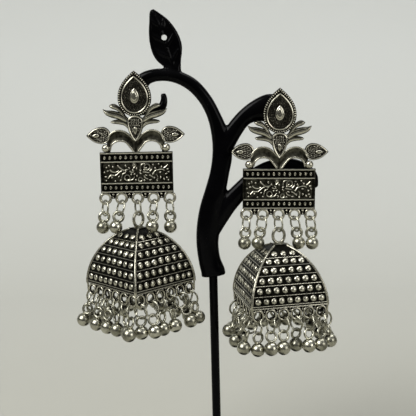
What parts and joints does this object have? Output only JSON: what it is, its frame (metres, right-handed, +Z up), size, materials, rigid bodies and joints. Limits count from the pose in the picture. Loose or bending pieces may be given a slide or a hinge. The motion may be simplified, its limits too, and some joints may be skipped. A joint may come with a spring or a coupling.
{
  "type": "pair of jhumka earrings on a display stand",
  "caption": "Oxidised silver jhumka earrings with a teardrop top, floral panel, bell beads and a square dome, hung on a gloss black branch-shaped stand.",
  "frame": {"origin": "middle of the stand's underside", "axes": "+X to the viewer's right, +Y away from the viewer, +Z up the stand; the earrings face -Y"},
  "size_m": [0.0817, 0.07, 0.1605],
  "materials": {
    "black_metal": "gloss black lacquer",
    "black_plastic": "gloss black moulding",
    "oxidised_silver": "raised edges polished, recesses blackened",
    "bright_silver": "polished with a dull grey patina"
  },
  "bodies": {
    "stand": {"stand_base": "black_metal", "stand_rod": "black_metal", "stand_branch": "black_plastic", "left_plate": "oxidised_silver", "left_ear_nut": "bright_silver", "left_link_1": "bright_silver", "left_bell_bead_1": "bright_silver", "left_link_2": "bright_silver", "left_bell_bead_2": "bright_silver", "left_link_4": "bright_silver", "left_bell_bead_4": "bright_silver", "left_link_5": "bright_silver", "left_bell_bead_5": "bright_silver", "right_plate": "oxidised_silver", "right_ear_nut": "bright_silver", "right_link_1": "bright_silver", "right_bell_bead_1": "bright_silver", "right_link_2": "bright_silver", "right_bell_bead_2": "bright_silver", "right_link_4": "bright_silver", "right_bell_bead_4": "bright_silver", "right_link_5": "bright_silver", "right_bell_bead_5": "bright_silver"},
    "left_hanger": {"left_centre_link": "bright_silver"},
    "left_bell": {"left_dome": "oxidised_silver", "left_rim_drops": "bright_silver"},
    "right_hanger": {"right_centre_link": "bright_silver"},
    "right_bell": {"right_dome": "oxidised_silver", "right_rim_drops": "bright_silver"}
  },
  "joints": [
    {"name": "left_swing", "type": "hinge", "parent": "stand", "child": "left_hanger", "pos_m": [-0.02332, -0.0029, 0.10059], "axis": [1, 0, 0], "range_deg": [-3, 30]},
    {"name": "left_sway", "type": "hinge", "parent": "left_hanger", "child": "left_bell", "pos_m": [-0.02332, -0.0029, 0.09664], "axis": [0, 1, 0], "range_deg": [-3.5, 5]},
    {"name": "right_swing", "type": "hinge", "parent": "stand", "child": "right_hanger", "pos_m": [0.02117, -0.0029, 0.09424], "axis": [1, 0, 0], "range_deg": [-25, 12]},
    {"name": "right_sway", "type": "hinge", "parent": "right_hanger", "child": "right_bell", "pos_m": [0.02117, -0.0029, 0.09029], "axis": [0, 1, 0], "range_deg": [-2, 2.5]}
  ]
}
